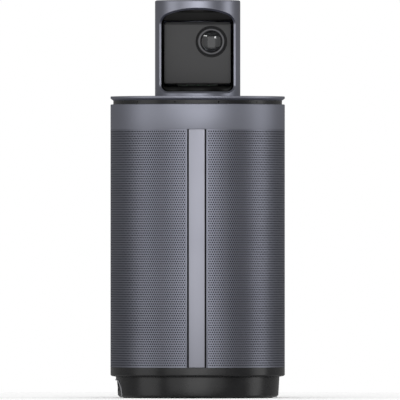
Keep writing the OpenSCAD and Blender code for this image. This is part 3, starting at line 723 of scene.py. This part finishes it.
def windowTool():
    # loops from deep inside the head to well in front of it, flared where they pass through the wall
    inner = windowOutline()
    mouth = grownOutline(inner, head["chamfer"])
    seat = [(x, -math.sqrt((headRadius - head["chamfer"]) ** 2 - x * x), z) for x, z in inner]
    lip = [(x, -math.sqrt(headRadius ** 2 - x * x), z) for x, z in mouth]
    flare = [[b + (b - a) for a, b in zip(p, q)] for p, q in zip(seat, lip)]
    loops = []
    for points in ([(x, -head["depth"], z) for x, z in inner], seat, flare,
                   [(x, -40, z) for x, y, z in flare]):
        loops.append(outline("windowTool", points + [points[0]]))
        bpy.ops.mesh.select_all(action="SELECT")
        bpy.ops.mesh.remove_doubles(threshold=1e-7)
        bpy.ops.object.mode_set(mode="OBJECT")
    tool = loops[0]
    for nextLoop in loops[1:]:  # one length of the tool at a time
        done = len(tool.data.vertices) - len(nextLoop.data.vertices)
        pick(tool)
        nextLoop.select_set(True)
        bpy.ops.object.join()
        bpy.ops.object.mode_set(mode="EDIT")
        bpy.ops.mesh.select_all(action="DESELECT")
        data = bmesh.from_edit_mesh(tool.data)
        data.verts.ensure_lookup_table()
        for v in data.verts[done:]:
            v.select_set(True)
        data.select_flush(True)
        bmesh.update_edit_mesh(tool.data)
        bpy.ops.mesh.bridge_edge_loops()
        bpy.ops.object.mode_set(mode="OBJECT")
    pick(tool)
    bpy.ops.object.mode_set(mode="EDIT")
    bpy.ops.mesh.select_all(action="DESELECT")
    bpy.ops.mesh.select_non_manifold()
    bpy.ops.mesh.edge_face_add()
    bpy.ops.mesh.select_all(action="SELECT")
    bpy.ops.mesh.fill_holes(sides=0)
    bpy.ops.mesh.normals_make_consistent(inside=False)
    bpy.ops.object.mode_set(mode="OBJECT")
    return tool


wallIn = headRadius - head["wall"]
drum = turned("head_shell_turned", [(wallIn, headLow), (headRadius, headLow),
                                    (headRadius, headTop - head["topEdge"]),
                                    (headRadius - head["topTurn"], headTop - head["topTurn"]),
                                    (headRadius - head["topEdge"], headTop), (0, headTop),
                                    (0, headTop - head["wall"]), (wallIn, headTop - head["wall"])],
              roundSteps)
cutAway(drum, windowTool())
smoothed(drum, 24)
finished(drum, "head", shellMetal, ["head_shell"])

liner = {"outIn": 2.9, "wallIn": 5.1, "floor": 2.2, "roof": 4.5, "back": 1.5, "slip": 0.07,
         "openHalf": 22.0, "openHigh": 21.0, "pin": 2.05, "edge": 0.35, "outTop": 9, "outLow": 4,
         "inTop": 7.5, "inLow": 3.5}
linerLow, linerTop = levels("window_liner")
linerBack = limits("window_liner")[1][1]
tiltZ = middle("camera_bezel")[2]
outside = roundedOutline(headRadius - liner["outIn"], linerLow, linerTop, liner["outTop"], liner["outLow"])
inside = roundedOutline(headRadius - liner["wallIn"], linerLow + liner["floor"], linerTop - liner["roof"],
                        liner["inTop"], liner["inLow"])
tray = prism("window_liner_tray", [(x, linerBack, z) for x, z in outside], (0, -32, 0))
cutAway(tray, prism("inside", [(x, linerBack - liner["back"], z) for x, z in inside], (0, -40, 0)),
        block("backOpening", (-liner["openHalf"], 0, tiltZ - liner["openHigh"]),
              (liner["openHalf"], 30, tiltZ + liner["openHigh"])),
        drill(liner["pin"], 60, (0, 0, tiltZ), (0, 90, 0)))
cutAway(tray, drill(wallIn - liner["slip"], 90, (0, 0, tiltZ), sides=192), operation="INTERSECT")
softEdges(tray, liner["edge"], 3, 40)
smoothed(tray)
# the liner's near-black colour is partly painted shade in the window recess
finished(tray, "head", linerPlasticAndShade, ["window_liner"])
print("head ready")

# camera block: a satin face with a slanted top edge, cheeks for the tilt pins, and the lens to its right
face = {"corner": 2.0, "thick": 3.0, "topCut": 1.8, "topDepth": 0.9, "lowCut": 0.8, "edge": 0.3,
        "groove": 10.15, "grooveDepth": 1.5, "bore": 8.66, "cheek": 7.0, "cheekThick": 2.65}
faceLowCorner, faceHighCorner = limits("camera_bezel")
faceHalf, faceFront = faceHighCorner[0], faceLowCorner[1]
faceLow, faceTop = faceLowCorner[2], faceHighCorner[2]
lensX, _, lensZ = middle("lens_ring")
bezel = prism("camera_bezel_face", [(x, faceFront + face["thick"], z) for x, z in
                                    roundedOutline(faceHalf, faceLow, faceTop, face["corner"],
                                                   face["corner"], 6)],
              (0, -face["thick"], 0))
for edgeZ, cut, depth, way in ((faceTop, face["topCut"], face["topDepth"], 1),
                               (faceLow, face["lowCut"], face["lowCut"], -1)):
    slant = depth / cut
    corners = [(faceFront - slant, edgeZ - way * (cut + 1)), (faceFront + depth + slant, edgeZ + way),
               (faceFront - slant - 2, edgeZ + way)]
    cutAway(bezel, prism("slant", [(-30, y, z) for y, z in corners], (60, 0, 0)))
softEdges(bezel, face["edge"], 3, 22)
cutAway(bezel, drill(face["groove"], 2 * face["grooveDepth"], (lensX, faceFront, lensZ), (90, 0, 0), 96),
        drill(face["bore"], 8, (lensX, faceFront + 2, lensZ), (90, 0, 0), 96))
smoothed(bezel)
finished(bezel, "camera_block", bezelPlastic, ["camera_bezel"])
cheeks = []
for side in (-1, 1):
    x = side * (faceHalf - face["cheekThick"] / 2 - 0.02)
    cheek = drill(face["cheek"], face["cheekThick"], (x, 0, tiltZ), (0, 90, 0), 64)
    cutAway(cheek, block("arm", (x - face["cheekThick"] / 2, faceFront + face["thick"],
                                 tiltZ - face["cheek"]),
                         (x + face["cheekThick"] / 2, 0, tiltZ + face["cheek"])), operation="UNION")
    cheeks.append(cheek)
pick(cheeks[0])
cheeks[1].select_set(True)
bpy.ops.object.join()
cheekPair = bpy.context.object
cheekPair.name = "camera_cheeks"
softEdges(cheekPair, 0.15, 2, 50)
smoothed(cheekPair)
finished(cheekPair, "camera_block", innerPlastic)


def laidOnSight(piece, material, stands=()):
    # lens pieces are spun upright, then laid along the line of sight with their front at the unit's front
    piece.rotation_euler = (math.radians(90), 0, 0)
    piece.location = (lensX * mm, 0, lensZ * mm)
    placeFixed(piece)
    smoothed(piece, 40)
    finished(piece, "camera_block", material, stands)


lens = {"ringIn": 6.75, "ringOut": 8.65, "ringHigh": 8.4, "ringLow": 5.05, "domeRadius": 19.3,
        "glassLow": 5.6}
laidOnSight(turned("lens_ring_turned",
                   [(lens["ringIn"], lens["ringLow"]), (lens["ringIn"], lens["ringHigh"] - 0.8),
                    (lens["ringIn"] + 0.3, lens["ringHigh"] - 0.15),
                    (lens["ringIn"] + 0.55, lens["ringHigh"]),
                    (lens["ringOut"] - 0.45, lens["ringHigh"]),
                    (lens["ringOut"], lens["ringHigh"] - 0.35),
                    (lens["ringOut"], lens["ringLow"])], 128), lensMetal,
            ["lens_ring"])
grooveFloor = -faceFront - face["grooveDepth"]
# dark ring in the floor of the groove round the lens: painted shade where the groove is in shadow
laidOnSight(turned("lens_groove_shade_ring",
                   [(lens["ringOut"] + 0.02, grooveFloor - 0.05),
                    (face["groove"] - 0.02, grooveFloor - 0.05),
                    (face["groove"] - 0.02, grooveFloor + 0.9),
                    (face["groove"] - 0.12, grooveFloor + 0.9),
                    (face["groove"] - 0.3, grooveFloor + 0.12),
                    (lens["ringOut"] + 0.02, grooveFloor + 0.12)], 96), grooveShadePaint)
domeEdge = math.degrees(math.asin((lens["ringIn"] - 0.05) / lens["domeRadius"]))
domePoints = [(lens["domeRadius"] * math.sin(math.radians(domeEdge * i / 20)),
               lens["ringHigh"] - lens["domeRadius"] * (1 - math.cos(math.radians(domeEdge * i / 20))))
              for i in range(20, -1, -1)]
laidOnSight(turned("front_lens_dome", [(0, lens["glassLow"]), (lens["ringIn"] - 0.05, lens["glassLow"])]
                   + domePoints, 96, False),
            lensGlass, ["front_lens"])
print("camera block ready")

# solids kept from the CAD model
dress(footRubber, "rubber_foot", "driver_surround")
dress(innerPlastic, "bottom_plate", "chassis", "diffuser_cone", "driver_basket", "speaker_enclosure",
      "gear_plate",
      "top_frame", "head_turntable", "camera_housing")
dress(steelMetal, "bottom_screws", "usb_port", "driver_magnet", "pan_motor", "spindle_clip",
      "button_switches")
dress(darkSteel, "tilt_bracket", "tilt_motor", "tilt_pins")
dress(portPlastic, "power_jack", "audio_jack", "image_sensor")
dress(trapPaint, "lens_barrel", "iris_plate")
dress(boardMask, "port_board", "main_board", "mic_board", "head_board", "sensor_board")
dress(conePaper, "driver_cone")
dress(copperWire, "voice_coil")
dress(sinkAluminium, "heat_sink")
dress(brassMetal, "pan_pinion", "pan_bushing", "microphones", "tilt_pinion")
dress(gearNylon, "pan_gear", "thrust_washer", "tilt_gear")
dress(innerGlass, "middle_lens", "rear_lens")
print("kept solids dressed")

# pale floor, soft boxes and a long lens
studio = {"floorRadius": 0.45, "worldInGloss": 0.21, "distance": 1.5, "front": 2.5, "fill": 5.8,
          "left": 3.6, "right": 3.6, "above": 0.5, "spark": 1.0, "streak": 1.4}

nothingSelected()
bpy.ops.mesh.primitive_circle_add(vertices=96, radius=studio["floorRadius"], fill_type="NGON",
                                  location=(0, 0, -0.0002))
floor = bpy.context.object
floor.name = "studio_floor"
placeFixed(floor)
# matt white paper roll with faint fibre
paper, paperTree, paperWhere, paperShader = newMaterial("seamlessPaper")
fibre = addNode(paperTree, "ShaderNodeTexNoise", {"Scale": 1 / (3 * mm), "Detail": 4.0},
                {"Vector": paperWhere})
paperTone = ramp(paperTree, fibre.outputs["Fac"],
                 [(0.3, hexColour("#f8f8f8")), (0.7, hexColour("#fcfcfc"))])
paperTree.links.new(paperTone.outputs["Color"], paperShader.inputs["Base Color"])
paperShader.inputs["Roughness"].default_value = 0.9
floor.data.materials.append(paper)
floor.visible_glossy = False  # polished parts mirror the boxes and the room, not the paper

world = bpy.data.worlds.new("studio")
bpy.context.scene.world = world
world.use_nodes = True
worldTree = world.node_tree
worldTree.nodes.clear()
ray = addNode(worldTree, "ShaderNodeLightPath")
strength = addNode(worldTree, "ShaderNodeMapRange", {"To Min": 1.0, "To Max": studio["worldInGloss"]},
                   {"Value": ray.outputs["Is Glossy Ray"]})
sky = addNode(worldTree, "ShaderNodeBackground", {"Color": (1, 1, 1, 1)},
              {"Strength": strength.outputs["Result"]})
addNode(worldTree, "ShaderNodeOutputWorld", links={"Surface": sky.outputs[0]})


def softbox(name, power, turn, rise, width, height, aim=(0, 0, 0.13)):
    # turn 0 is straight in front of the unit and positive to its right-hand side; rise is above its middle
    lamp = bpy.data.lights.new(name, "AREA")
    lamp.shape = "RECTANGLE"
    lamp.size = width
    lamp.size_y = height
    lamp.energy = power
    box = bpy.data.objects.new(name, lamp)
    bpy.context.collection.objects.link(box)
    a, up, far = math.radians(turn), math.radians(rise), studio["distance"]
    place = Vector(aim) + far * Vector((math.sin(a) * math.cos(up), -math.cos(a) * math.cos(up),
                                        math.sin(up)))
    box.location = place
    box.rotation_euler = (Vector(aim) - place).to_track_quat("-Z", "Y").to_euler()
    box.visible_camera = False


softbox("frontBox", studio["front"], 0, 0, 0.8, 1.2)
softbox("fillBox", studio["fill"], -3, 4, 2.4, 1.2)
softbox("leftBox", studio["left"], -72, 4, 0.9, 1.6)
softbox("rightBox", studio["right"], 90, 4, 0.6, 1.6)
softbox("topBox", studio["above"], 0, 82, 1.4, 1.4)
softbox("sparkBox", studio["spark"], 15, 17, 0.18, 0.18, (0.009, 0, 0.228))
softbox("streakBox", studio["streak"], -27, 23, 0.4, 0.14, (0.009, 0, 0.228))

view = {"lens": 1500.0, "distance": 10.708, "height": 0.12683, "side": 0.0015, "lift": -0.2, "turn": 0.6}
cam = bpy.data.cameras.new("camera")
cam.lens = view["lens"]
cam.sensor_width = 36.0
cam.sensor_fit = "HORIZONTAL"
cam.clip_start = 0.1
cam.clip_end = 200.0
camera = bpy.data.objects.new("camera", cam)
bpy.context.collection.objects.link(camera)
rise, turn = math.radians(view["lift"]), math.radians(view["turn"])
away = view["distance"] * math.cos(rise)
camera.location = (view["side"] * math.cos(turn) + away * math.sin(turn),
                   view["side"] * math.sin(turn) - away * math.cos(turn),
                   view["height"] + view["distance"] * math.sin(rise))
camera.rotation_euler = (math.radians(90) - rise, 0, turn)
bpy.context.scene.camera = camera
bpy.context.scene.view_settings.view_transform = "Standard"
print("studio ready")
